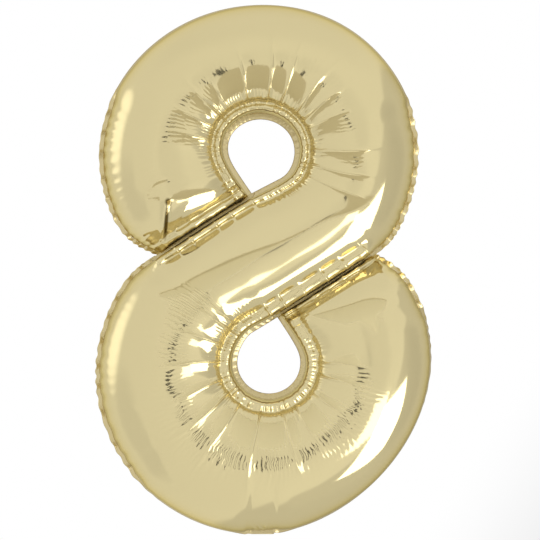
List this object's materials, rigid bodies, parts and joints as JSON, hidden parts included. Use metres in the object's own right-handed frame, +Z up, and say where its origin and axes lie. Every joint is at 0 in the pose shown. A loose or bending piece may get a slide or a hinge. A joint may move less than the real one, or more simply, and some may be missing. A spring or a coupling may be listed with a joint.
{
  "type": "foil number balloon",
  "caption": "Inflated foil balloon in the shape of a figure eight, with welded borders, open eyes, an inner flap valve and a filling tail that folds at the neck.",
  "frame": {"origin": "middle of the bottom edge of the welded border, at the filling neck", "axes": "+Z up the figure, -Y out of the front face, +X to the right of someone looking at the front"},
  "size_m": [0.5457, 0.184, 0.8603],
  "materials": {
    "foil_film": "mirror gloss champagne gold metallised film",
    "weld_border": "satin heat-sealed champagne gold laminate",
    "valve_film": "translucent polyethylene film"
  },
  "bodies": {
    "balloon": {"front_foil": "foil_film", "back_foil": "foil_film", "upper_rim_seal": "weld_border", "lower_left_rim_seal": "weld_border", "lower_right_rim_seal": "weld_border", "upper_eye_seal": "weld_border", "lower_eye_seal": "weld_border", "left_waist_seal": "weld_border", "right_waist_seal": "weld_border", "neck_weld_front": "weld_border", "neck_weld_back": "weld_border"},
    "valve_front": {"valve_front_film": "valve_film"},
    "valve_back": {"valve_back_film": "valve_film"},
    "tail": {"tail_front_foil": "foil_film", "tail_back_foil": "foil_film", "tail_left_seal": "weld_border", "tail_right_seal": "weld_border", "valve_inlet_front": "valve_film", "valve_inlet_back": "valve_film"}
  },
  "joints": [
    {"name": "tail_fold", "type": "hinge", "parent": "balloon", "child": "tail", "pos_m": [0, 0, 0], "axis": [-1, 0, 0], "range_deg": [0, 195]},
    {"name": "valve_front_flex", "type": "hinge", "parent": "balloon", "child": "valve_front", "pos_m": [0, -0.00015, 0.0088], "axis": [1, 0, 0], "range_deg": [0, 4], "stiffness_Nm_per_rad": 0.0002},
    {"name": "valve_back_flex", "type": "hinge", "parent": "balloon", "child": "valve_back", "pos_m": [0, 0.00015, 0.0088], "axis": [-1, 0, 0], "range_deg": [0, 4], "stiffness_Nm_per_rad": 0.0002}
  ],
  "couplings": [
    {"joint": "valve_back_flex", "follows": "valve_front_flex", "ratio": 1}
  ]
}
